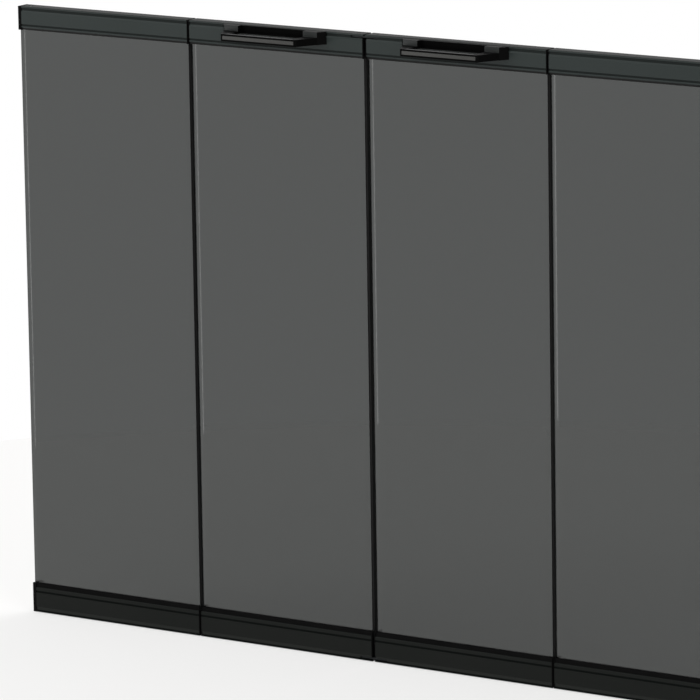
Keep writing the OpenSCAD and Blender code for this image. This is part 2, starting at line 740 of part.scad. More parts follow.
module right_pivot_pins() on_side(1) pivot_pins();
module right_guide_pins() on_side(1) guide_pins();
module right_top_roller() on_side(1) at_top() roller();
module right_bottom_roller() on_side(1) at_bottom() roller();
module right_hinge_outer_plates() on_side(1) hinge_outer_plates();
module right_hinge_inner_plates() on_side(1) hinge_inner_plates();
module right_hinge_pins() on_side(1) hinge_pins();
module right_handle() on_side(1) handle();
module right_handle_inlay() on_side(1) handle_inlay();
module right_handle_screws() on_side(1) handle_screws();
module right_catch_strike() on_side(1) catch_strike();

top_track();
bottom_track();
top_left_pivot_bracket();
top_right_pivot_bracket();
bottom_left_pivot_bracket();
bottom_right_pivot_bracket();
bracket_screws();
catch_magnets();
thrust_bushes();
left_outer_glass();
left_outer_top_rail();
left_outer_bottom_rail();
left_outer_glazing_gaskets();
left_outer_edge_seals();
left_outer_end_caps();
left_outer_screws();
left_inner_glass();
left_inner_top_rail();
left_inner_bottom_rail();
left_inner_glazing_gaskets();
left_inner_edge_seals();
left_inner_end_caps();
left_inner_screws();
right_inner_glass();
right_inner_top_rail();
right_inner_bottom_rail();
right_inner_glazing_gaskets();
right_inner_edge_seals();
right_inner_end_caps();
right_inner_screws();
right_outer_glass();
right_outer_top_rail();
right_outer_bottom_rail();
right_outer_glazing_gaskets();
right_outer_edge_seals();
right_outer_end_caps();
right_outer_screws();
left_pivot_pins();
left_guide_pins();
left_top_roller();
left_bottom_roller();
left_hinge_outer_plates();
left_hinge_inner_plates();
left_hinge_pins();
left_handle();
left_handle_inlay();
left_handle_screws();
left_catch_strike();
right_pivot_pins();
right_guide_pins();
right_top_roller();
right_bottom_roller();
right_hinge_outer_plates();
right_hinge_inner_plates();
right_hinge_pins();
right_handle();
right_handle_inlay();
right_handle_screws();
right_catch_strike();
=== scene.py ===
"""Looks of a bi-fold fireplace door set: two pairs of smoked-glass leaves with black rails,
pull handles, hinges, pivots, and rollers in slotted tracks. Metres, +Z up, the room towards -Y."""
import json
import math
import bmesh
import bpy
import numpy as np
from mathutils import Matrix, Vector


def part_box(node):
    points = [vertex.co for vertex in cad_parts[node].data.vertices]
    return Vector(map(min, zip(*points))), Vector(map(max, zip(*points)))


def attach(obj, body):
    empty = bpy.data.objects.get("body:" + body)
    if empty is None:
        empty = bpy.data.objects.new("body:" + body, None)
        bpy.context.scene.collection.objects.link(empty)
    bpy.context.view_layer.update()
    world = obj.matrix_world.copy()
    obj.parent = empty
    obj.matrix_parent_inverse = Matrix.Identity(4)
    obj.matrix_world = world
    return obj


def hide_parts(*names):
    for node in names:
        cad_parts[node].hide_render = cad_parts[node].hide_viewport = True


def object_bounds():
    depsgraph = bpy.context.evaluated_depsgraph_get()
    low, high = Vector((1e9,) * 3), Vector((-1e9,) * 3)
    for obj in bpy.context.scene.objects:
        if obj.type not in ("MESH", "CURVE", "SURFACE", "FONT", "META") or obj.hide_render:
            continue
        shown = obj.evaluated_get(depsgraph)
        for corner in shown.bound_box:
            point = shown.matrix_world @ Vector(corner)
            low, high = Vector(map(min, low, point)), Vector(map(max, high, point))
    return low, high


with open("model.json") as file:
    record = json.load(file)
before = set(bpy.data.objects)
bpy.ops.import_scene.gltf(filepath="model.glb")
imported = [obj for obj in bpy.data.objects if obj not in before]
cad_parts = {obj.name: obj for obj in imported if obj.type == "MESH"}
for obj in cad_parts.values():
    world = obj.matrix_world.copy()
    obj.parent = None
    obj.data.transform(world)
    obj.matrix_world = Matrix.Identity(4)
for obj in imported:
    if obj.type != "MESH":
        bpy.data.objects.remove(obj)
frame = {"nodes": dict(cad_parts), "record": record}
cad_low, cad_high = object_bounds()
scene = bpy.context.scene
scene.view_settings.view_transform = "Standard"
MM = 0.001

# ---------------------------------------------------------------- viewpoint
# A long lens stands to the right of the door set and a little above its middle, so the top of the
# rails shows as a thin band and the handles show their right-hand sides.
azimuth, elevation, roll = math.radians(34), math.radians(11.3054), math.radians(-0.9017)
distance, far_clip = 6.6823, 100
frame_px, focal_px, film_mm = 700, 6239.39, 36
slide_right, slide_up = 0.02013, -0.00136
rail_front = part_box("left_outer_top_rail")[0].y

backward = Vector((math.sin(azimuth) * math.cos(elevation),
                   -math.cos(azimuth) * math.cos(elevation), math.sin(elevation)))
level = Vector((math.cos(azimuth), math.sin(azimuth), 0))
upright = backward.cross(level)
right = math.cos(roll) * level + math.sin(roll) * upright
up = math.cos(roll) * upright - math.sin(roll) * level
camera = bpy.data.objects.new("camera", bpy.data.cameras.new("camera"))
camera.data.sensor_width = film_mm
camera.data.lens = focal_px * film_mm / frame_px
camera.data.clip_end = far_clip
axes = Matrix((right, up, backward)).transposed().to_4x4()
place = Vector((0, rail_front, 0)) + backward * distance - right * slide_right - up * slide_up
camera.matrix_world = Matrix.Translation(place) @ axes
scene.collection.objects.link(camera)
scene.camera = camera


# ---------------------------------------------------------------- floor and light
# A pale floor in a white surround, with three large soft lamps. What looks at the surround sees it
# white, and it lights at a lower strength. Reflections also find a tall bright strip at the left,
# out of the way of what the flat panes mirror, which draws a light line along bevels and rounded
# edges. They don't find the key lamp, which would lie on the rails as a glare.
def srgb(colour):
    """Linear RGBA of a hex colour: each channel through the sRGB curve, with alpha 1."""
    channels = np.array([int(colour[i:i + 2], 16) for i in (1, 3, 5)]) / 255
    linear = np.where(channels <= 0.04045, channels / 12.92, ((channels + 0.055) / 1.055) ** 2.4)
    return (*linear, 1.0)


def add(tree, kind, inputs=(), **settings):
    """Adds a node, sets its properties, and sets or links each of its inputs."""
    node = tree.nodes.new(kind)
    for name, value in settings.items():
        setattr(node, name, value)
    for socket, value in dict(inputs).items():
        if isinstance(value, bpy.types.NodeSocket):
            tree.links.new(value, node.inputs[socket])
        else:
            node.inputs[socket].default_value = value
    return node


def blank(name):
    """An empty material: the material and its node tree."""
    made = bpy.data.materials.new(name)
    made.use_nodes = True
    made.node_tree.nodes.clear()
    return made, made.node_tree


surround_strength, floor_glow = 0.62, 0.55
floor_colour, floor_radius = "#f1f0ee", 1.25
strip_azimuth, strip_half, strip_fade = math.radians(44 - 180), math.radians(2.2), math.radians(1.2)
strip_extra = 1.9                            # strength added to the surround's own

world = bpy.data.worlds.new("surround")
world.use_nodes = True
tree = world.node_tree
tree.nodes.clear()
ray = add(tree, "ShaderNodeLightPath").outputs
looked = add(tree, "ShaderNodeTexCoord").outputs["Generated"]
way = add(tree, "ShaderNodeSeparateXYZ", {0: looked}).outputs
heading = add(tree, "ShaderNodeMath", {0: way["X"], 1: way["Y"]}, operation="ARCTAN2")
aside = add(tree, "ShaderNodeMath", {0: heading.outputs[0], 1: strip_azimuth}, operation="SUBTRACT")
off_strip = add(tree, "ShaderNodeMath", {0: aside.outputs[0]}, operation="ABSOLUTE")
in_strip = add(tree, "ShaderNodeMapRange", {
    "Value": off_strip.outputs[0], "From Min": strip_half + strip_fade, "From Max": strip_half,
    "To Min": 1.0, "To Max": 1.0 + strip_extra}, interpolation_type="SMOOTHSTEP")
lit = add(tree, "ShaderNodeBackground", {"Color": srgb("#ffffff"), "Strength": surround_strength})
shown = add(tree, "ShaderNodeBackground", {"Color": srgb("#ffffff"), "Strength": 1.0})
mirrored = add(tree, "ShaderNodeBackground", {"Color": srgb("#ffffff"),
                                              "Strength": in_strip.outputs[0]})
lit_or_mirrored = add(tree, "ShaderNodeMixShader",
                      {0: ray["Is Glossy Ray"], 1: lit.outputs[0], 2: mirrored.outputs[0]})
straight = add(tree, "ShaderNodeMath", {0: ray["Is Camera Ray"], 1: ray["Is Transmission Ray"]},
               operation="MAXIMUM")
surround = add(tree, "ShaderNodeMixShader",
               {0: straight.outputs[0], 1: lit_or_mirrored.outputs[0], 2: shown.outputs[0]})
add(tree, "ShaderNodeOutputWorld", {"Surface": surround.outputs[0]})
scene.world = world

floor_paint, tree = blank("pale_floor")
ray = add(tree, "ShaderNodeLightPath").outputs
matt = add(tree, "ShaderNodeBsdfDiffuse", {"Color": srgb(floor_colour)})
glow = add(tree, "ShaderNodeEmission", {"Color": srgb("#ffffff"), "Strength": 1.0})
straight = add(tree, "ShaderNodeMath", {0: ray["Is Camera Ray"], 1: ray["Is Transmission Ray"]},
               operation="MAXIMUM")
seen = add(tree, "ShaderNodeMath", {0: straight.outputs[0], 1: ray["Is Glossy Ray"]},
           operation="MAXIMUM")
share = add(tree, "ShaderNodeMath", {0: seen.outputs[0], 1: floor_glow}, operation="MULTIPLY")
mixed = add(tree, "ShaderNodeMixShader",
            {0: share.outputs[0], 1: matt.outputs[0], 2: glow.outputs[0]})
add(tree, "ShaderNodeOutputMaterial", {"Surface": mixed.outputs[0]})

turn = np.linspace(0, 2 * math.pi, 96, endpoint=False)
floor_gap = 1 * MM                           # the set hangs this far above the floor
rim = np.stack([floor_radius * np.cos(turn), floor_radius * np.sin(turn),
                np.full(len(turn), cad_low.z - floor_gap)], -1)
disc = bpy.data.meshes.new("floor")
disc.from_pydata(rim, [], [range(len(turn))])
disc.materials.append(floor_paint)
floor = bpy.data.objects.new("floor", disc)
scene.collection.objects.link(floor)

lamps = {"key_lamp": ((-2.6, -2.6, 2.6), 2.2, 95), "fill_lamp": ((2.8, -1.6, 1.2), 2.0, 32),
         "back_lamp": ((0.6, 2.6, 2.2), 2.0, 40)}
for name, (at, side, watts) in lamps.items():
    lamp = bpy.data.objects.new(name, bpy.data.lights.new(name, "AREA"))
    lamp.data.shape, lamp.data.size, lamp.data.energy = "SQUARE", side, watts
    aim = Vector(at).to_track_quat("Z", "Y").to_matrix().to_4x4()
    lamp.matrix_world = Matrix.Translation(at) @ aim
    lamp.visible_glossy = name != "key_lamp"
    scene.collection.objects.link(lamp)


# ---------------------------------------------------------------- glass panes
# Grey body-tinted float glass, 4 mm, cut, ground along its upright edges to a shallow polished
# bevel, seamed at the arrises and toughened. Each pane is pushed into the rubber channels of its
# two rails.
def cells(size):
    """Scale of a pattern whose cells are this many millimetres across, on coordinates in metres."""
    return 1 / (size * MM)


def tinted_glass(name, tint, roughness, waves):
    """Toughened glass: a slow waviness from the rollers of the furnace, 260 mm long, bends what it
    mirrors. Light that passes on its way to a lamp takes the tint, so that the glass throws a grey
    shadow."""
    made, tree = blank(name)
    here = add(tree, "ShaderNodeTexCoord").outputs["Object"]
    roller_wave = add(tree, "ShaderNodeTexNoise", {"Vector": here, "Scale": cells(260),
                                                   "Detail": 0.0})
    uneven = add(tree, "ShaderNodeBump", {"Height": roller_wave.outputs[0], "Strength": 1.0,
                                          "Distance": waves})
    pane = add(tree, "ShaderNodeBsdfPrincipled", {
        "Base Color": srgb(tint), "Roughness": roughness, "IOR": 1.52, "Transmission Weight": 1.0,
        "Normal": uneven.outputs[0]})
    clear = add(tree, "ShaderNodeBsdfTransparent", {"Color": srgb(tint)})
    shaded = add(tree, "ShaderNodeLightPath").outputs["Is Shadow Ray"]
    both = add(tree, "ShaderNodeMixShader", {0: shaded, 1: pane.outputs[0], 2: clear.outputs[0]})
    add(tree, "ShaderNodeOutputMaterial", {"Surface": both.outputs[0]})
    return made


def quads(rings, columns, closed=False):
    """Corner numbers of the quads between rings of points: each ring's last point meets its first,
    and where closed, the last ring meets the first one."""
    ring = np.arange(rings if closed else rings - 1)[:, None]
    here = np.arange(columns)[None, :]
    after = (here + 1) % columns
    following = (ring + 1) % rings
    corners = np.stack([ring * columns + here, ring * columns + after,
                        following * columns + after, following * columns + here], -1)
    return corners.reshape(-1, 4).tolist()


def carried(outline, axis, span):
    """Solid of a closed outline carried straight along an axis: the outline gives the other two
    coordinates, the span the third, and each end is closed by one face."""
    count = len(outline)
    rings = np.empty((len(span), count, 3))
    rings[:, :, [i for i in range(3) if i != axis]] = outline
    rings[:, :, axis] = np.asarray(span)[:, None]
    ends = [list(range(count)), list(range((len(span) - 1) * count, len(span) * count))]
    return rings.reshape(-1, 3), quads(len(span), count) + ends


bodies = frame["record"]["behaviour"]["bodies"]
rides_on = {node: body for body, nodes in bodies.items() for node in nodes}


def make_piece(name, solids, paint, node, smooth=30):
    """One object from several closed solids: their points and faces in one mesh, faces turned
    outwards, edges sharper than the smooth angle kept. It stands for a CAD node and moves with
    it."""
    starts = np.cumsum([0] + [len(points) for points, _ in solids[:-1]])
    faces = [[int(start) + corner for corner in face]
             for (_, found), start in zip(solids, starts) for face in found]
    mesh = bpy.data.meshes.new(name)
    mesh.from_pydata(np.concatenate([points for points, _ in solids]), [], faces)
    shell = bmesh.new()
    shell.from_mesh(mesh)
    bmesh.ops.recalc_face_normals(shell, faces=shell.faces)
    shell.to_mesh(mesh)
    shell.free()
    mesh.shade_smooth()
    mesh.set_sharp_from_angle(angle=math.radians(smooth))
    mesh.materials.append(paint)
    made = bpy.data.objects.new(name, mesh)
    scene.collection.objects.link(made)
    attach(made, rides_on[node])
    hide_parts(node)
    return made


def repaint(piece, paint, chosen):
    """Gives a second paint to the faces that chosen picks by the x, y and z of their centres."""
    piece.data.materials.append(paint)
    centre = np.empty(3 * len(piece.data.polygons))
    piece.data.polygons.foreach_get("center", centre)
    picked = chosen(*centre.reshape(-1, 3).T).astype(np.int32)
    piece.data.polygons.foreach_set("material_index", picked)


bevel_w, bevel_d, arris = 6 * MM, 0.8 * MM, 0.3 * MM
bevel_blend = 1.6 * MM               # the polishing wheel rounds the bevel's inner edge this far
polished = tinted_glass("grey_float_glass", "#404241", 0.0, 0.02 * MM)
ground = tinted_glass("ground_glass_edge", "#3c4240", 0.35, 0.0)


def bevel_depth(inward):
    """How far the front lies back at a distance inward from an upright edge: a straight slope that
    runs into the flat face through a parabola."""
    left = bevel_w - inward
    blend = (left + bevel_blend) ** 2 / (4 * bevel_blend)
    run_out = np.where(left < -bevel_blend, 0, blend)
    return bevel_d / bevel_w * np.where(left > bevel_blend, left, run_out)


LEAVES = ["left_outer", "left_inner", "right_inner", "right_outer"]
for leaf in LEAVES:
    low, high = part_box(f"{leaf}_glass")
    inward = np.concatenate([[arris], np.linspace(1 * MM, bevel_w - bevel_blend, 3),
                             np.linspace(bevel_w - bevel_blend, bevel_w + bevel_blend, 13)[1:]])
    depth = low.y + bevel_depth(inward)
    front = np.concatenate([np.stack([low.x + inward, depth], -1),
                            np.stack([high.x - inward, depth], -1)[::-1]])
    edge_front = low.y + bevel_depth(0) + arris
    rest = [[high.x, edge_front], [high.x, high.y - arris], [high.x - arris, high.y],
            [low.x + arris, high.y], [low.x, high.y - arris], [low.x, edge_front]]
    outline = np.concatenate([front, rest])
    pane = make_piece(f"{leaf}_pane", [carried(outline, 2, [low.z, high.z])], polished,
                      f"{leaf}_glass", smooth=3)
    repaint(pane, ground, lambda x, y, z: np.minimum(x - low.x, high.x - x) < arris)


# ---------------------------------------------------------------- rails
# Aluminium extrusions, powder coated black: an outer flange, a shadow groove, a face with a sloping
# edge, a second groove and the lip beside the glass. The top ones have a satin coat with a trace of
# green in it, and the bottom ones a flatter and blacker copy of it: painted shade, which makes the
# lower rails darker.
weld_reach, flat_angle, sharp_angle = 0.001 * MM, math.radians(1), math.radians(30)


def soften(node, width, segments=2):
    """Rounds the edges of a CAD node: its loose triangles are joined, flat faces merged, and the
    sharp edges bevelled."""
    made = frame["nodes"][node]
    joined = made.modifiers.new("joined", "WELD")
    joined.merge_threshold = weld_reach
    flat = made.modifiers.new("flat", "DECIMATE")
    flat.decimate_type = "DISSOLVE"
    flat.angle_limit = flat_angle
    edge = made.modifiers.new("edge", "BEVEL")
    edge.width, edge.segments = width, segments
    edge.limit_method, edge.angle_limit = "ANGLE", sharp_angle
    edge.use_clamp_overlap = True
    edge.harden_normals = True
    return made


MIX_A, MIX_B, MIXED = 6, 7, 2                # sockets of a Mix node that mixes colours
rail_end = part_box("left_outer_top_rail")[1].z
groove_floor = rail_front + 0.7 * MM         # the grooves' floors lie behind this plane
# where the painted highlight on the bottom rails' sloping edge lies
lit_slope_middle, lit_slope_half = 4.2 * MM - rail_end, 1.6 * MM


def powder_coat(name, dark, light, shine, roughness, edge, margin, groove_shade):
    """Powder coat on aluminium: a film that flows into low soft hills, which the eye sees as a
    faint orange peel in the gloss, and a tone that drifts a little along the bar, partly the coat's
    own and partly a painted reflection. Painted shade makes it black and matt within edge of the
    rail's outer edge, and by the given share in the grooves that are further than margin from it. A
    band on the sloping edge of the bottom rails is painted paler, a painted highlight where the
    slope catches light."""
    made, tree = blank(name)
    here = add(tree, "ShaderNodeTexCoord").outputs["Object"]
    # painted reflection in part: the drift also stands in for the uneven reflections along the
    # rails
    drift = add(tree, "ShaderNodeTexNoise", {"Vector": here, "Scale": cells(120), "Detail": 1.0})
    tone = add(tree, "ShaderNodeMix", {0: drift.outputs[0], MIX_A: srgb(dark), MIX_B: srgb(light)},
               data_type="RGBA")
    # the real hills are 0.8 mm apart and would not show: drawn at 1.8 mm
    peel = add(tree, "ShaderNodeTexNoise", {"Vector": here, "Scale": cells(1.8), "Detail": 2.0,
                                            "Roughness": 0.4})
    gloss = add(tree, "ShaderNodeMapRange", {"Value": peel.outputs[0], "To Min": roughness - 0.05,
                                             "To Max": roughness + 0.05})
    hills = add(tree, "ShaderNodeBump", {"Height": peel.outputs[0], "Strength": 0.5,
                                         "Distance": 0.03 * MM})
    place = add(tree, "ShaderNodeSeparateXYZ", {0: here}).outputs
    # painted shade: the coat is made black and matt in the grooves and along the rail's outer edge
    level = add(tree, "ShaderNodeMath", {0: place["Z"]}, operation="ABSOLUTE")
    behind_face = add(tree, "ShaderNodeMath", {0: place["Y"], 1: groove_floor},
                      operation="GREATER_THAN")
    within = add(tree, "ShaderNodeMath", {0: level.outputs[0], 1: rail_end - margin},
                 operation="LESS_THAN")
    in_groove = add(tree, "ShaderNodeMath", {0: behind_face.outputs[0], 1: within.outputs[0]},
                    operation="MULTIPLY")
    shaded_groove = add(tree, "ShaderNodeMath", {0: in_groove.outputs[0], 1: groove_shade},
                 operation="MULTIPLY")
    on_edge = add(tree, "ShaderNodeMath", {0: level.outputs[0], 1: rail_end - edge},
                  operation="GREATER_THAN")
    painted_shade = add(tree, "ShaderNodeMath", {0: shaded_groove.outputs[0], 1: on_edge.outputs[0]},
               operation="MAXIMUM")
    # painted highlight: a band on the sloping edge of the bottom rails is painted paler
    brushed = add(tree, "ShaderNodeMath", {0: place["Z"], 1: lit_slope_middle, 2: lit_slope_half},
                  operation="COMPARE")
    paler = add(tree, "ShaderNodeMix", {0: brushed.outputs[0], MIX_A: tone.outputs[MIXED],
                                        MIX_B: srgb("#1f211f")}, data_type="RGBA")
    paint = add(tree, "ShaderNodeMix", {0: painted_shade.outputs[0], MIX_A: paler.outputs[MIXED],
                                        MIX_B: srgb("#0b0e0d")}, data_type="RGBA")
    shine_level = add(tree, "ShaderNodeMapRange", {"Value": painted_shade.outputs[0], "To Min": shine,
                                              "To Max": 0.02})
    coat = add(tree, "ShaderNodeBsdfPrincipled", {
        "Base Color": paint.outputs[MIXED], "Roughness": gloss.outputs[0],
        "Specular IOR Level": shine_level.outputs[0], "Normal": hills.outputs[0]})
    add(tree, "ShaderNodeOutputMaterial", {"Surface": coat.outputs[0]})
    return made


satin_coat = powder_coat("satin_powder_coat", "#141e1b", "#1c2423", shine=0.3, roughness=0.36,
                         edge=0.2 * MM, margin=1 * MM, groove_shade=0.65)
# the bottom rails get a darker, duller copy of the coat: painted shade
shaded_flat_coat = powder_coat("shaded_flat_powder_coat", "#0c0f0d", "#121412", shine=0.12, roughness=0.5,
                        edge=2 * MM, margin=10 * MM, groove_shade=0.85)
rail_edge = 0.3 * MM
for leaf in LEAVES:
    soften(f"{leaf}_top_rail", rail_edge).material_slots[0].material = satin_coat
    soften(f"{leaf}_bottom_rail", rail_edge).material_slots[0].material = shaded_flat_coat


# ---------------------------------------------------------------- glazing channels, seals, end caps
# Black silicone that stands the heat: a U-shaped channel round the top and bottom edge of each pane
# whose two beads swell where they leave the rail, strips bonded to the upright edges that meet
# another leaf, and caps pushed over the ends of the rails. The lower channels are a copy that
# mirrors less: painted shade, which makes them darker.
def silicone(name, shine):
    """Extruded or moulded silicone: dead black and soft, with a bloom of paler dust and a fine matt
    skin that mirrors next to nothing."""
    made, tree = blank(name)
    here = add(tree, "ShaderNodeTexCoord").outputs["Object"]
    bloom = add(tree, "ShaderNodeTexNoise", {"Vector": here, "Scale": cells(14), "Detail": 3.0})
    tone = add(tree, "ShaderNodeMix", {0: bloom.outputs[0], MIX_A: srgb("#050505"),
                                       MIX_B: srgb("#0d0d0d")}, data_type="RGBA")
    # the real skin's grain is under 0.1 mm and would not show: drawn at 0.5 mm
    skin = add(tree, "ShaderNodeTexNoise", {"Vector": here, "Scale": cells(0.5), "Detail": 2.0})
    matt = add(tree, "ShaderNodeMapRange", {"Value": skin.outputs[0], "To Min": 0.5,
                                            "To Max": 0.68})
    grain = add(tree, "ShaderNodeBump", {"Height": skin.outputs[0], "Strength": 0.4,
                                         "Distance": 0.02 * MM})
    rubber = add(tree, "ShaderNodeBsdfPrincipled", {
        "Base Color": tone.outputs[MIXED], "Roughness": matt.outputs[0],
        "Specular IOR Level": shine, "Normal": grain.outputs[0]})
    add(tree, "ShaderNodeOutputMaterial", {"Surface": rubber.outputs[0]})
    return made


top_channel = silicone("black_silicone_channel", 0.2)
# the lower channels get a copy that mirrors less: painted shade
shaded_channel = silicone("shaded_silicone_channel", 0.03)
moulded = silicone("moulded_black_silicone", 0.04)
strip_silicone = silicone("black_silicone_strip", 0.12)
bead_flare, bead_tip, strip_round = 0.9 * MM, 0.5 * MM, 0.5 * MM
strip_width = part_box("left_inner_glass")[0].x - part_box("left_inner_edge_seals")[0].x
quarter = np.linspace(0, math.pi / 2, 7)


def channel(leaf, end):
    """U-shaped channel in a rail. In its section one side goes up the pocket's wall, out under the
    bead, round the bead on a quarter of an ellipse to its tip, and down the glass to the bottom of
    the U; the other side mirrors it. End is 1 for the top rail and -1 for the bottom one."""
    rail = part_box(f"{leaf}_{'top' if end > 0 else 'bottom'}_rail")
    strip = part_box(f"{leaf}_edge_seals")
    low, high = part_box(f"{leaf}_glazing_gaskets")
    pane_low, pane_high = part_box(f"{leaf}_glass")
    middle, half = (pane_low.y + pane_high.y) / 2, (pane_high.y - pane_low.y) / 2
    base, glass_end, lip, tip = (
        (high.z, pane_high.z, rail[0].z, strip[1].z) if end > 0
        else (low.z, pane_low.z, rail[1].z, strip[0].z))
    bead = (high.y - low.y) / 2
    wall = bead - bead_flare
    nose = half + bead_tip
    bead_y = nose + (bead - nose) * np.cos(quarter)
    bead_z = lip + (tip - lip) * np.sin(quarter)
    side = np.concatenate([[[wall, base], [wall, lip]], np.stack([bead_y, bead_z], -1),
                           [[half, tip], [half, glass_end]]])
    outline = np.concatenate([side * [-1, 1], side[::-1]]) + [middle, 0]
    return carried(outline, 0, [low.x, high.x])


def edge_strip(leaf, x, inward):
    """Strip on an upright glass edge: flat against the glass, its free corners rounded by quarter
    circles."""
    low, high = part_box(f"{leaf}_edge_seals")
    corner = strip_round * np.stack([1 - np.sin(quarter), 1 - np.cos(quarter)], -1)
    front = np.concatenate([[[strip_width, 0]], corner[::-1]])
    back = front[::-1] * [1, -1] + [0, high.y - low.y]
    outline = np.concatenate([front, back]) * [inward, 1] + [x, low.y]
    return carried(outline, 2, [low.z, high.z])


for leaf in LEAVES:
    channels = make_piece(f"{leaf}_glazing_channels", [channel(leaf, 1), channel(leaf, -1)],
                          top_channel, f"{leaf}_glazing_gaskets")
    # the lower channel takes the copy that mirrors less: painted shade
    repaint(channels, shaded_channel, lambda x, y, z: z < 0)
    low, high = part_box(f"{leaf}_edge_seals")
    strips = [edge_strip(leaf, low.x, 1), edge_strip(leaf, high.x, -1)]
    met = {"left_outer": strips[1:], "right_outer": strips[:1]}.get(leaf, strips)
    make_piece(f"{leaf}_seal_strips", met, strip_silicone, f"{leaf}_edge_seals")
    soften(f"{leaf}_end_caps", 0.25 * MM).material_slots[0].material = moulded


# ---------------------------------------------------------------- pull handles
# A black glass-filled nylon moulding screwed to each middle leaf's top rail from inside: a base,
# two arms and a grip. A strip of brushed nickel is pressed into the grip's front.
handle_x = (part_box("right_handle")[0].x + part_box("right_handle")[1].x) / 2
hollow_half = 42.5 * MM              # half the width of the finger hollow between the arms
hollow_front, base_front = rail_front - 8 * MM, rail_front - 12 * MM
grip_back = rail_front - 25 * MM
facing = 0.8                         # a face looks one way from this share of its normal
grip_top_sheen = 0.25                   # share of the painted highlight that the top of the grip gets


def moulded_nylon():
    """Glass-filled nylon: deep black and matt, with the fine even grain of a spark-eroded mould.
    The faces of the base that look forward, outside the finger hollow, are painted paler and
    glossier, a painted highlight, and the top of the grip between the arms gets a share of that
    painted highlight."""
    made, tree = blank("moulded_black_nylon")
    here = add(tree, "ShaderNodeTexCoord").outputs["Object"]
    flow = add(tree, "ShaderNodeTexNoise", {"Vector": here, "Scale": cells(30), "Detail": 2.0})
    tone = add(tree, "ShaderNodeMix", {0: flow.outputs[0], MIX_A: srgb("#040404"),
                                       MIX_B: srgb("#090909")}, data_type="RGBA")
    # the real grain is 0.15 mm and would not show: drawn at 0.4 mm
    grain = add(tree, "ShaderNodeTexNoise", {"Vector": here, "Scale": cells(0.4), "Detail": 1.0})
    sheen = add(tree, "ShaderNodeMapRange", {"Value": grain.outputs[0], "To Min": 0.34,
                                             "To Max": 0.46})
    pits = add(tree, "ShaderNodeBump", {"Height": grain.outputs[0], "Strength": 0.35,
                                        "Distance": 0.02 * MM})
    place = add(tree, "ShaderNodeSeparateXYZ", {0: here}).outputs
    turned_to = add(tree, "ShaderNodeTexCoord").outputs["Normal"]
    normal = add(tree, "ShaderNodeSeparateXYZ", {0: turned_to}).outputs
    # painted highlight: forward-looking faces of the base beside or ahead of the finger hollow turn
    # paler and glossier
    forward = add(tree, "ShaderNodeMath", {0: normal["Y"], 1: -facing}, operation="LESS_THAN")
    at_base = add(tree, "ShaderNodeMath", {0: place["Y"], 1: base_front}, operation="GREATER_THAN")
    faces = add(tree, "ShaderNodeMath", {0: forward.outputs[0], 1: at_base.outputs[0]},
                operation="MULTIPLY")
    across = add(tree, "ShaderNodeMath", {0: place["X"]}, operation="ABSOLUTE")
    off_middle = add(tree, "ShaderNodeMath", {0: across.outputs[0], 1: handle_x},
                     operation="SUBTRACT")
    aside = add(tree, "ShaderNodeMath", {0: off_middle.outputs[0]}, operation="ABSOLUTE")
    beside = add(tree, "ShaderNodeMath", {0: aside.outputs[0], 1: hollow_half},
                 operation="GREATER_THAN")
    ahead = add(tree, "ShaderNodeMath", {0: place["Y"], 1: hollow_front}, operation="LESS_THAN")
    outside = add(tree, "ShaderNodeMath", {0: beside.outputs[0], 1: ahead.outputs[0]},
                  operation="MAXIMUM")
    forward_sheen = add(tree, "ShaderNodeMath", {0: faces.outputs[0], 1: outside.outputs[0]},
                 operation="MULTIPLY")
    # painted highlight: the upward top of the grip between the arms gets a share of it
    upward = add(tree, "ShaderNodeMath", {0: normal["Z"], 1: facing}, operation="GREATER_THAN")
    at_grip = add(tree, "ShaderNodeMath", {0: place["Y"], 1: grip_back}, operation="LESS_THAN")
    between = add(tree, "ShaderNodeMath", {0: 1.0, 1: beside.outputs[0]}, operation="SUBTRACT")
    on_grip = add(tree, "ShaderNodeMath", {0: upward.outputs[0], 1: at_grip.outputs[0]},
                  operation="MULTIPLY")
    grip_top = add(tree, "ShaderNodeMath", {0: on_grip.outputs[0], 1: between.outputs[0]},
               operation="MULTIPLY")
    rubbed = add(tree, "ShaderNodeMath", {0: grip_top.outputs[0], 1: grip_top_sheen}, operation="MULTIPLY")
    smooth = add(tree, "ShaderNodeMath", {0: forward_sheen.outputs[0], 1: rubbed.outputs[0]},
                 operation="MAXIMUM")
    shade = add(tree, "ShaderNodeMix", {0: smooth.outputs[0], MIX_A: tone.outputs[MIXED],
                                        MIX_B: srgb("#1a1d1c")}, data_type="RGBA")
    shine_level = add(tree, "ShaderNodeMapRange", {"Value": smooth.outputs[0], "To Min": 0.02,
                                              "To Max": 0.4})
    nylon = add(tree, "ShaderNodeBsdfPrincipled", {
        "Base Color": shade.outputs[MIXED], "Roughness": sheen.outputs[0],
        "Specular IOR Level": shine_level.outputs[0], "Normal": pits.outputs[0]})
    add(tree, "ShaderNodeOutputMaterial", {"Surface": nylon.outputs[0]})
    return made


hair_length = 50                     # of a hairline, in times its width


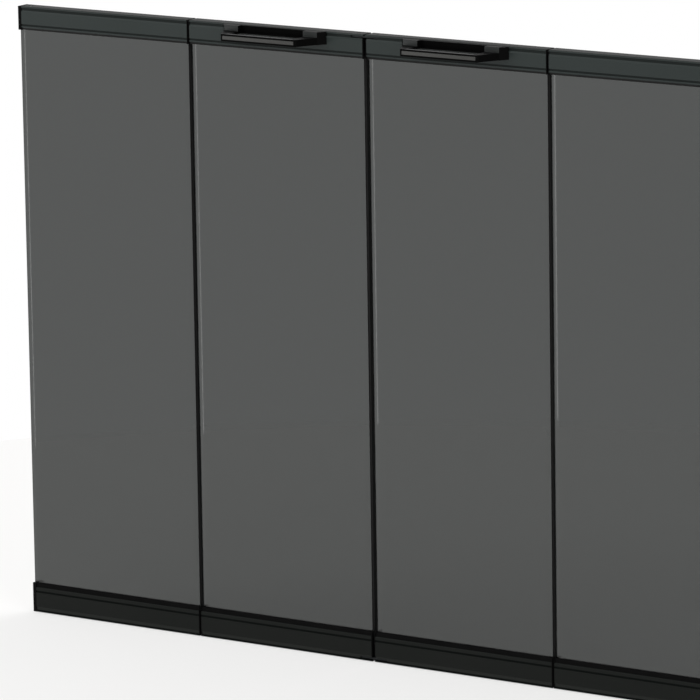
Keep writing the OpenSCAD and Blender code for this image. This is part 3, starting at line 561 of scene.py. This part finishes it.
def brushed_nickel():
    """Nickel plate brushed lengthwise: hairlines along X pull each highlight across them. Its grey
    is warm and a little darker than that of steel."""
    made, tree = blank("brushed_nickel")
    here = add(tree, "ShaderNodeTexCoord").outputs["Object"]
    along = add(tree, "ShaderNodeMapping", {"Vector": here, "Scale": (1 / hair_length, 1, 1)})
    # the real hairlines are 0.05 mm apart and would not show: drawn at 0.2 mm
    hairs = add(tree, "ShaderNodeTexNoise", {"Vector": along.outputs[0], "Scale": cells(0.2),
                                             "Detail": 3.0})
    tone = add(tree, "ShaderNodeMix", {0: hairs.outputs[0], MIX_A: srgb("#3e3e3d"),
                                       MIX_B: srgb("#525250")}, data_type="RGBA")
    rough = add(tree, "ShaderNodeMapRange", {"Value": hairs.outputs[0], "To Min": 0.28,
                                             "To Max": 0.42})
    lines = add(tree, "ShaderNodeBump", {"Height": hairs.outputs[0], "Strength": 0.3,
                                         "Distance": 0.01 * MM})
    plate = add(tree, "ShaderNodeBsdfPrincipled", {
        "Base Color": tone.outputs[MIXED], "Metallic": 1.0, "Roughness": rough.outputs[0],
        "Anisotropic": 0.5, "Normal": lines.outputs[0]})
    add(tree, "ShaderNodeOutputMaterial", {"Surface": plate.outputs[0]})
    return made


def rounded_bar(low, high, radius, steps=5):
    """Box with round edges and corners: every point of a small ball, given by its longitude and
    latitude, is moved away from the middle by the box's straight half-lengths, each to its own
    side. The angles repeat where they change sides, which leaves the flat faces between."""
    low, high = np.array(low), np.array(high)
    quarter_turn = np.linspace(0, math.pi / 2, steps)
    longitude = np.concatenate([quarter_turn + k * math.pi / 2 for k in range(4)])
    side_x = np.repeat([1, -1, -1, 1], steps)
    side_y = np.repeat([1, 1, -1, -1], steps)
    latitude = np.concatenate([quarter_turn - math.pi / 2, quarter_turn])[1:-1]
    side_z = np.repeat([-1, 1], steps)[1:-1]
    around = np.cos(latitude)[:, None]
    ball = radius * np.stack(np.broadcast_arrays(
        around * np.cos(longitude), around * np.sin(longitude), np.sin(latitude)[:, None]), -1)
    sides = np.stack(np.broadcast_arrays(side_x, side_y, side_z[:, None]), -1)
    points = (low + high) / 2 + ball + sides * ((high - low) / 2 - radius)
    count = len(longitude)
    ends = [list(range(count)), list(range((len(latitude) - 1) * count, len(latitude) * count))]
    return points.reshape(-1, 3), quads(len(latitude), count) + ends


nylon, nickel = moulded_nylon(), brushed_nickel()
for side in ("left", "right"):
    soften(f"{side}_handle", 0.9 * MM, segments=3).material_slots[0].material = nylon
    strip = rounded_bar(*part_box(f"{side}_handle_inlay"), 0.35 * MM)
    make_piece(f"{side}_nickel_strip", [strip], nickel, f"{side}_handle_inlay")


# ---------------------------------------------------------------- tracks, brackets, hinges, strikes
# Pressed from 1.5 mm sheet steel, drilled, folded, and phosphated black: two slotted angles screwed
# to the opening, four brackets with round-nosed tongues on them, and the butt hinges between the
# leaves. The strikes that meet the magnets are zinc plated like the fasteners.
def phosphated_steel():
    """Phosphated and oiled sheet steel: grey-black with a felt of fine crystals, clouded where the
    oil has dried."""
    made, tree = blank("phosphated_steel")
    here = add(tree, "ShaderNodeTexCoord").outputs["Object"]
    cloud = add(tree, "ShaderNodeTexNoise", {"Vector": here, "Scale": cells(18), "Detail": 4.0})
    # the real crystals are a few hundredths of a millimetre and would not show: drawn at 0.7 mm
    crystals = add(tree, "ShaderNodeTexVoronoi", {"Vector": here, "Scale": cells(0.7)})
    tone = add(tree, "ShaderNodeMix", {0: cloud.outputs[0], MIX_A: srgb("#191b1c"),
                                       MIX_B: srgb("#2c2f30")}, data_type="RGBA")
    dull = add(tree, "ShaderNodeMapRange", {"Value": cloud.outputs[0], "To Min": 0.42,
                                            "To Max": 0.6})
    felt = add(tree, "ShaderNodeBump", {"Height": crystals.outputs[0], "Strength": 0.3,
                                        "Distance": 0.02 * MM})
    sheet = add(tree, "ShaderNodeBsdfPrincipled", {
        "Base Color": tone.outputs[MIXED], "Metallic": 0.3, "Roughness": dull.outputs[0],
        "Specular IOR Level": 0.3, "Normal": felt.outputs[0]})
    add(tree, "ShaderNodeOutputMaterial", {"Surface": sheet.outputs[0]})
    return made


def zinc_plate():
    """Bright zinc plate, blue passivated: a silvery grey with a cool cast that wanders towards
    straw, and fine rubbed marks from the barrel it was plated in."""
    made, tree = blank("zinc_plated_steel")
    here = add(tree, "ShaderNodeTexCoord").outputs["Object"]
    cast = add(tree, "ShaderNodeTexNoise", {"Vector": here, "Scale": cells(6), "Detail": 2.0})
    tone = add(tree, "ShaderNodeMix", {0: cast.outputs[0], MIX_A: srgb("#aab2ba"),
                                       MIX_B: srgb("#c2bfb2")}, data_type="RGBA")
    # the real marks are 0.05 mm wide and would not show: drawn at 0.3 mm
    rubbed = add(tree, "ShaderNodeTexNoise", {"Vector": here, "Scale": cells(0.3), "Detail": 3.0})
    rough = add(tree, "ShaderNodeMapRange", {"Value": rubbed.outputs[0], "To Min": 0.24,
                                             "To Max": 0.42})
    marks = add(tree, "ShaderNodeBump", {"Height": rubbed.outputs[0], "Strength": 0.2,
                                         "Distance": 0.01 * MM})
    plate = add(tree, "ShaderNodeBsdfPrincipled", {
        "Base Color": tone.outputs[MIXED], "Metallic": 1.0, "Roughness": rough.outputs[0],
        "Normal": marks.outputs[0]})
    add(tree, "ShaderNodeOutputMaterial", {"Surface": plate.outputs[0]})
    return made


steel, zinc = phosphated_steel(), zinc_plate()
sheet_edge = 0.2 * MM
for node in frame["nodes"]:
    if node.endswith(("_track", "_bracket", "_plates")):
        soften(node, sheet_edge).material_slots[0].material = steel
for side in ("left", "right"):
    soften(f"{side}_catch_strike", sheet_edge).material_slots[0].material = zinc


# ---------------------------------------------------------------- screws
# Zinc-plated pan-head screws with a cross recess: they clamp the channels on the glass, and hold
# the hinge plates, the strikes, the brackets and, from inside the rail, the handles.
grid = 0.001                         # millimetres: corners that share a place on it are one


def solids_of(node):
    """Boxes of the separate solids in a CAD node. Corners in one place share a number, and each
    triangle hands its lowest number to its corners until none changes."""
    mesh = frame["nodes"][node].data
    points = np.empty(3 * len(mesh.vertices))
    mesh.vertices.foreach_get("co", points)
    corners = np.empty(len(mesh.loops), np.int64)
    mesh.loops.foreach_get("vertex_index", corners)
    steps = np.round(points.reshape(-1, 3) / (grid * MM))
    places, number = np.unique(steps, axis=0, return_inverse=True)
    triangles = number.reshape(-1)[corners].reshape(-1, 3)
    label = np.arange(len(places))
    while True:
        passed = label.copy()
        for corner in range(3):
            np.minimum.at(passed, triangles[:, corner], label[triangles].min(1))
        passed = passed[passed]
        if np.array_equal(passed, label):
            break
        label = passed
    found = [places[label == one] * grid * MM for one in np.unique(label)]
    return [(group.min(0), group.max(0)) for group in found]


head_h, pitch, thread_d = 1.5 * MM, 0.7 * MM, 0.12 * MM
recess_half, recess_d, recess_slope = 0.42 * MM, 0.7 * MM, 0.1 * MM
crown_share, recess_share = 0.88, 0.62       # of the head's radius
crown_rise, point_share = 0.35, 0.7          # of the head's height, and of the shank's radius


def pan_screw(low, high, head_towards, shank_r=1.75 * MM, columns=40):
    """Pan-head screw along Y inside a box. Rings run out over the head, round its rim, in under it
    and down the shank. The top falls with the square of the radius, less a cross where one
    coordinate is near the axis, and the shank's radius swings once a pitch and once round."""
    head_r = (high[0] - low[0]) / 2
    length = high[1] - low[1]
    over = head_r * np.linspace(0.05, crown_share, 16)
    round_rim = np.linspace(0, math.pi / 2, 5)[1:]
    rim = (1 - crown_share) * head_r
    down = np.arange(head_h, length, pitch / 4)
    radius = np.concatenate([over, crown_share * head_r + rim * np.sin(round_rim),
                             [head_r, shank_r], np.full(len(down), shank_r),
                             [point_share * shank_r]])
    crown = crown_rise * head_h * (over / head_r) ** 2
    depth = np.concatenate([crown, crown[-1] + rim * (1 - np.cos(round_rim)),
                            [head_h, head_h], down, [length]])
    angle = np.linspace(0, 2 * math.pi, columns, endpoint=False)
    in_thread = np.zeros(len(radius))
    in_thread[-len(down) - 1:-1] = np.clip((down - head_h) / pitch, 0, 1)
    swing = np.abs(((depth[:, None] / pitch - angle / (2 * math.pi)) % 1) * 2 - 1)
    radius = radius[:, None] - thread_d * in_thread[:, None] * swing
    x, z = radius * np.cos(angle), radius * np.sin(angle)
    near = np.minimum(np.abs(x), np.abs(z))
    far = np.maximum(np.abs(x), np.abs(z))
    in_arm = np.clip((recess_half - near) / recess_slope, 0, 1)
    cross = in_arm * np.clip((recess_share * head_r - far) / recess_slope, 0, 1)
    cross[len(over):] = 0
    outward = high[1] if head_towards > 0 else low[1]
    y = outward - head_towards * (depth[:, None] + recess_d * cross)
    middle = (np.array(low) + np.array(high)) / 2
    points = np.stack([middle[0] + x, y, middle[2] + z], -1).reshape(-1, 3)
    ends = [list(range(columns)), list(range(len(points) - columns, len(points)))]
    return points, quads(len(depth), columns) + ends


for node in [n for n in frame["nodes"] if n.endswith("_screws")]:
    towards = -1 if node == "bracket_screws" else 1
    screws = [pan_screw(*box, towards) for box in solids_of(node)]
    make_piece(node.replace("_screws", "_pan_screws"), screws, zinc, node)


# ---------------------------------------------------------------- pins, rollers and bushes
# Turned parts. The pins are zinc-plated steel, chamfered and with a gripping groove near each end;
# the hinge pins have a domed head. Rollers and thrust bushes are turned from black acetal bar.
def turned(profile, low, high, closed=False, columns=48):
    """Solid turned about an upright axis in the middle of a box. Each profile point gives a radius
    and a height above the box's lower end. A closed profile makes a ring, an open one gets a flat
    face at each end."""
    radius, height = np.array(profile).T
    angle = np.linspace(0, 2 * math.pi, columns, endpoint=False)
    middle = (np.array(low) + np.array(high)) / 2
    points = np.stack(np.broadcast_arrays(
        middle[0] + radius[:, None] * np.cos(angle), middle[1] + radius[:, None] * np.sin(angle),
        low[2] + height[:, None]), -1).reshape(-1, 3)
    ends = [list(range(columns)), list(range(len(points) - columns, len(points)))]
    return points, quads(len(radius), columns, closed) + ([] if closed else ends)


def grooved_pin(low, high):
    """Plain pin: chamfers at both ends, and a groove with a parabola for its section at a tenth of
    the length from each."""
    radius, length = (high[1] - low[1]) / 2, high[2] - low[2]
    chamfer, groove_d, groove_half = 0.15 * radius, 0.08 * radius, 0.4 * MM
    across = np.linspace(-1, 1, 7)
    groove = np.stack([radius - groove_d * (1 - across ** 2), across * groove_half], -1)
    first, last = groove + [0, 0.1 * length], groove + [0, 0.9 * length]
    profile = np.concatenate([[[radius - chamfer, 0], [radius, chamfer]], first, last,
                              [[radius, length - chamfer], [radius - chamfer, length]]])
    return turned(profile, low, high)


def headed_pin(low, high, end):
    """Hinge pin: a head domed by a quarter of an ellipse at its outer end, a rounded tip at the
    other."""
    head_r, length = (high[1] - low[1]) / 2, high[2] - low[2]
    head, shank_r, tip = 1 * MM, head_r - 0.6 * MM, 0.3 * MM
    bend = np.linspace(0.15, 1, 6) * math.pi / 2
    dome = np.stack([head_r * np.sin(bend), head * 0.6 * (1 - np.cos(bend))], -1)
    point = np.stack([shank_r - tip * (1 - np.cos(bend[::-1] - bend[0])),
                      length - tip * (1 - np.sin(math.pi / 2 - bend[::-1] + bend[0]))], -1)[::-1]
    straight = [[head_r, head], [shank_r, head], [shank_r, length - tip]]
    profile = np.concatenate([dome, straight, point[1:]])
    if end > 0:
        profile = profile * [1, -1] + [0, length]
    return turned(profile, low, high)


def black_acetal():
    """Machined acetal: near black and waxy, with the fine rings that a lathe tool leaves."""
    made, tree = blank("black_acetal")
    here = add(tree, "ShaderNodeTexCoord").outputs["Object"]
    mottle = add(tree, "ShaderNodeTexNoise", {"Vector": here, "Scale": cells(5), "Detail": 2.0})
    tone = add(tree, "ShaderNodeMix", {0: mottle.outputs[0], MIX_A: srgb("#101011"),
                                       MIX_B: srgb("#1b1c1d")}, data_type="RGBA")
    waxy = add(tree, "ShaderNodeMapRange", {"Value": mottle.outputs[0], "To Min": 0.36,
                                            "To Max": 0.46})
    # the real rings are 0.15 mm apart and would not show: this wave draws them 0.8 mm apart
    rings = add(tree, "ShaderNodeTexWave", {"Vector": here, "Scale": cells(2.5), "Distortion": 0.3},
                bands_direction="Z")
    feed = add(tree, "ShaderNodeBump", {"Height": rings.outputs[1], "Strength": 0.25,
                                        "Distance": 0.02 * MM})
    bar = add(tree, "ShaderNodeBsdfPrincipled", {
        "Base Color": tone.outputs[MIXED], "Roughness": waxy.outputs[0], "Specular IOR Level": 0.3,
        "Normal": feed.outputs[0]})
    add(tree, "ShaderNodeOutputMaterial", {"Surface": bar.outputs[0]})
    return made


acetal = black_acetal()
run_fit, turned_edge = 0.05 * MM, 0.3 * MM
neck_r, neck_len = 2.5 * MM, 2.1 * MM        # a roller's neck fits the track's slot


def roller(low, high, bore, end):
    """Roller as a closed ring: bore, chamfered neck, a wider shoulder with rounded rims."""
    shoulder, length = (high[1] - low[1]) / 2, high[2] - low[2]
    bend = np.linspace(0, math.pi / 2, 5)
    rim = turned_edge * np.stack([np.sin(bend), 1 - np.cos(bend)], -1)
    lower = rim + [shoulder - turned_edge, neck_len]
    upper = rim[::-1] * [1, -1] + [shoulder - turned_edge, length]
    neck = [[bore, turned_edge], [bore + turned_edge, 0], [neck_r - turned_edge, 0],
            [neck_r, turned_edge], [neck_r, neck_len]]
    mouth = [[bore + turned_edge, length], [bore, length - turned_edge]]
    profile = np.concatenate([neck, lower, upper, mouth])
    if end > 0:
        profile = profile * [1, -1] + [0, length]
    return turned(profile, low, high, closed=True)


def thrust_bush(low, high, bore):
    """Bush as a closed ring: chamfered bore, rounded outer rims and a shallow grease groove halfway
    up."""
    radius, length = (high[1] - low[1]) / 2, high[2] - low[2]
    across = np.linspace(-1, 1, 9)
    groove_d, groove_half = 0.35 * MM, 0.9 * MM
    groove = np.stack([radius - groove_d * (1 - across ** 2),
                       length / 2 + across * groove_half], -1)
    bend = np.linspace(0, math.pi / 2, 5)
    rim = turned_edge * np.stack([np.sin(bend), 1 - np.cos(bend)], -1)
    lower = rim + [radius - turned_edge, 0]
    upper = rim[::-1] * [1, -1] + [radius - turned_edge, length]
    profile = np.concatenate([[[bore, turned_edge], [bore + turned_edge, 0]], lower, groove, upper,
                              [[bore + turned_edge, length], [bore, length - turned_edge]]])
    return turned(profile, low, high, closed=True)


for side in ("left", "right"):
    pivots, guides = solids_of(f"{side}_pivot_pins"), solids_of(f"{side}_guide_pins")
    make_piece(f"{side}_turned_pivots", [grooved_pin(*box) for box in pivots], zinc,
               f"{side}_pivot_pins")
    make_piece(f"{side}_turned_guides", [grooved_pin(*box) for box in guides], zinc,
               f"{side}_guide_pins")
    make_piece(f"{side}_headed_pins", [headed_pin(*box, 1 if box[0][2] > 0 else -1)
                                       for box in solids_of(f"{side}_hinge_pins")],
               zinc, f"{side}_hinge_pins")
    guide_r = (guides[0][1][1] - guides[0][0][1]) / 2
    for end, level_name in ((1, "top"), (-1, "bottom")):
        node = f"{side}_{level_name}_roller"
        low, high = solids_of(node)[0]
        wheel = roller(low, high, guide_r + run_fit, end)
        make_piece(f"{side}_{level_name}_turned_roller", [wheel], acetal, node)

pivot_r = (pivots[0][1][1] - pivots[0][0][1]) / 2
bushes = [thrust_bush(*box, pivot_r + run_fit) for box in solids_of("thrust_bushes")]
make_piece("turned_thrust_bushes", bushes, acetal, "thrust_bushes")


# ---------------------------------------------------------------- catch magnets
# Sintered ferrite blocks glued to the top track, one beside each roller slot: pressed from powder,
# fired and ground on the faces, with edges that crumble a little.
def sintered_ferrite():
    """Sintered ferrite: a dull brown-grey with darker grains and small pits."""
    made, tree = blank("sintered_ferrite")
    here = add(tree, "ShaderNodeTexCoord").outputs["Object"]
    # the real grains are under 0.1 mm and would not show: drawn at 0.5 mm
    grains = add(tree, "ShaderNodeTexVoronoi", {"Vector": here, "Scale": cells(0.5)})
    tone = add(tree, "ShaderNodeMix", {0: grains.outputs[0], MIX_A: srgb("#292725"),
                                       MIX_B: srgb("#45413d")}, data_type="RGBA")
    pits = add(tree, "ShaderNodeTexNoise", {"Vector": here, "Scale": cells(0.8), "Detail": 4.0})
    dull = add(tree, "ShaderNodeMapRange", {"Value": pits.outputs[0], "To Min": 0.6, "To Max": 0.8})
    worn = add(tree, "ShaderNodeBump", {"Height": pits.outputs[0], "Strength": 0.5,
                                        "Distance": 0.05 * MM})
    block = add(tree, "ShaderNodeBsdfPrincipled", {
        "Base Color": tone.outputs[MIXED], "Roughness": dull.outputs[0], "Specular IOR Level": 0.3,
        "Normal": worn.outputs[0]})
    add(tree, "ShaderNodeOutputMaterial", {"Surface": block.outputs[0]})
    return made


soften("catch_magnets", 0.4 * MM).material_slots[0].material = sintered_ferrite()
